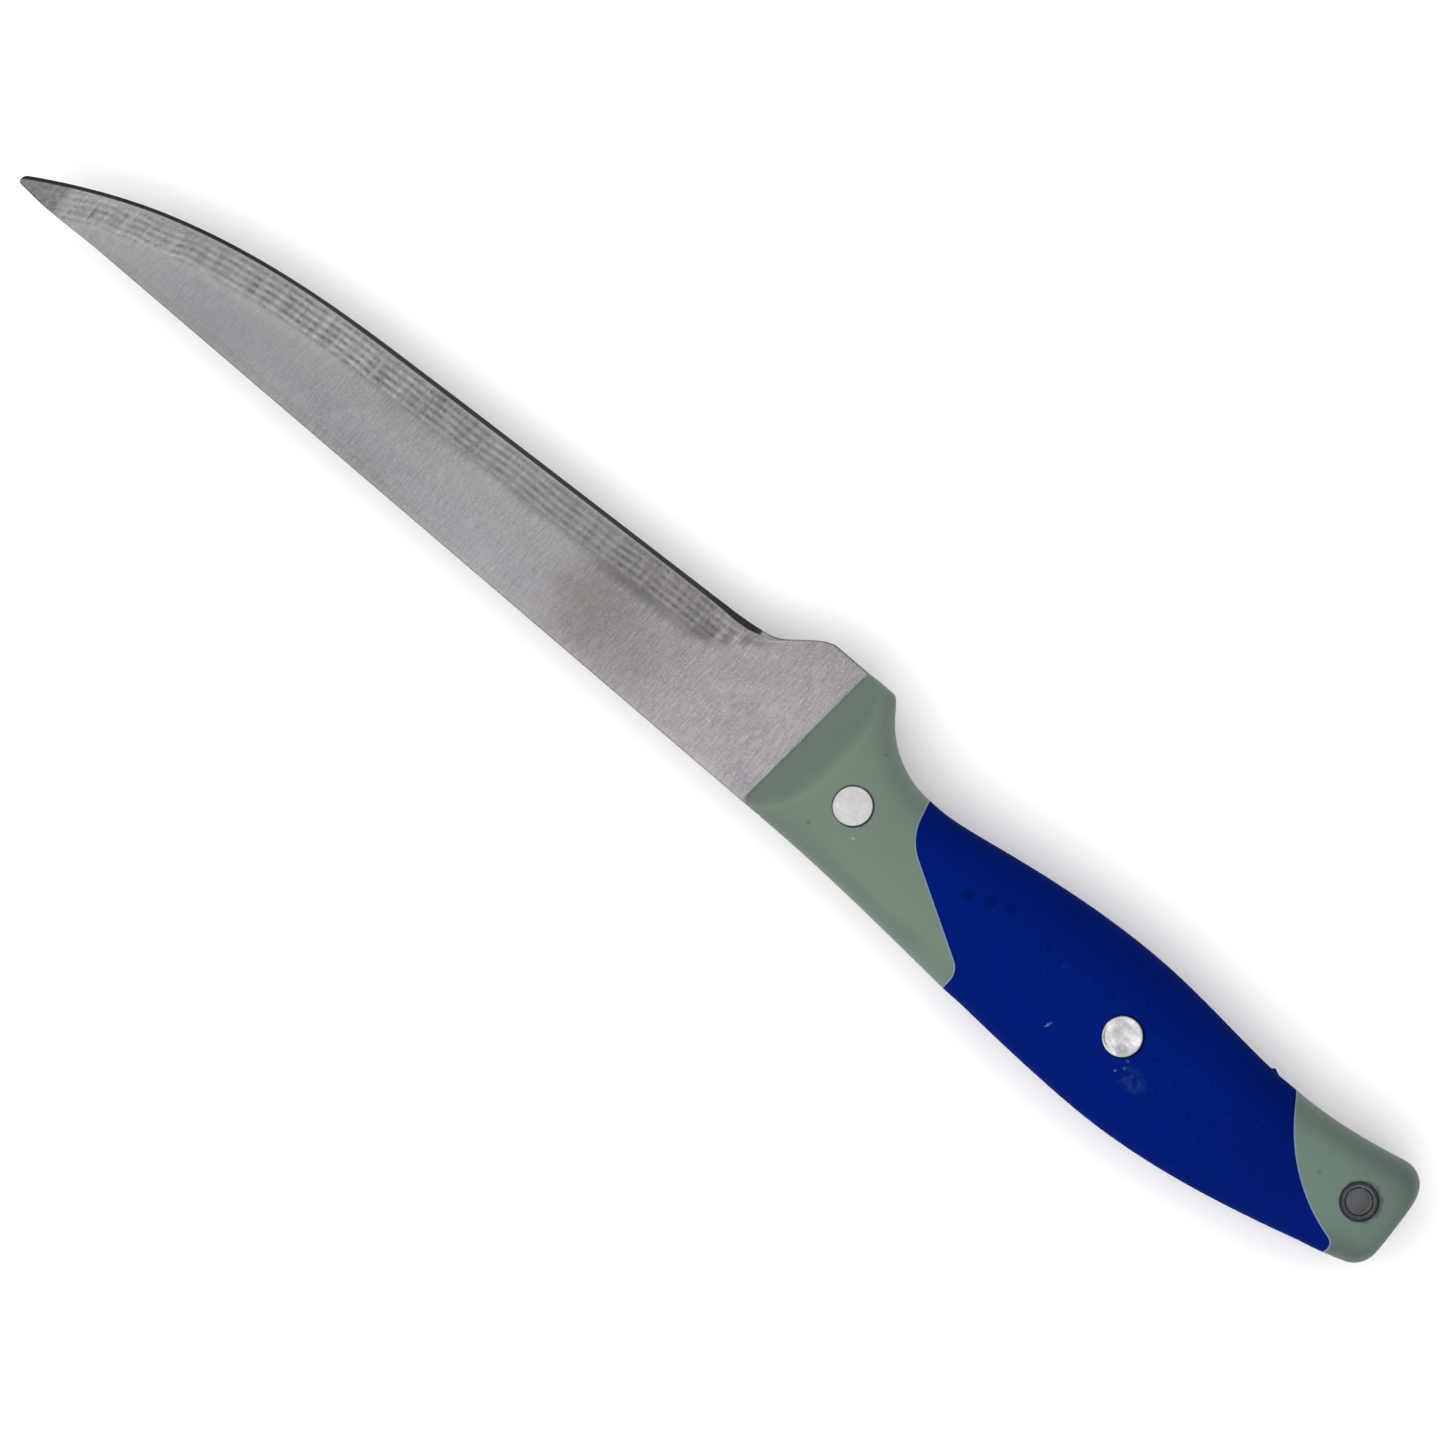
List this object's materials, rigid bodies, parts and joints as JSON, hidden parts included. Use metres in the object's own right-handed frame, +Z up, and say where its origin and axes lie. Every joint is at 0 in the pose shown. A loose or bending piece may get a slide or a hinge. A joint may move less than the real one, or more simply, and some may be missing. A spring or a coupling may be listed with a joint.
{
  "type": "sticking knife",
  "caption": "Stiff pointed sticking knife with a finger guard, a ground steel blade and a moulded hard handle with a soft grip sleeve, rivets and a lined lanyard hole.",
  "frame": {"origin": "under the middle of the knife's box, on the surface that it lies on", "axes": "+X to the blade's tip, +Y to the spine, +Z up through the thickness, with the knife lying on its side"},
  "size_m": [0.2878, 0.0332, 0.017],
  "materials": {
    "blade_steel": "satin ground stainless steel",
    "hard_plastic": "fine matt grey-green moulding",
    "soft_grip": "matt blue soft moulding with small raised dots",
    "rivet_aluminium": "peened and buffed",
    "tube_metal": "dull drawn tube"
  },
  "bodies": {
    "root": {"blade": "blade_steel", "handle_core": "hard_plastic", "grip_sleeve": "soft_grip", "front_rivet": "rivet_aluminium", "middle_rivet": "rivet_aluminium", "lanyard_tube": "tube_metal"}
  },
  "joints": []
}
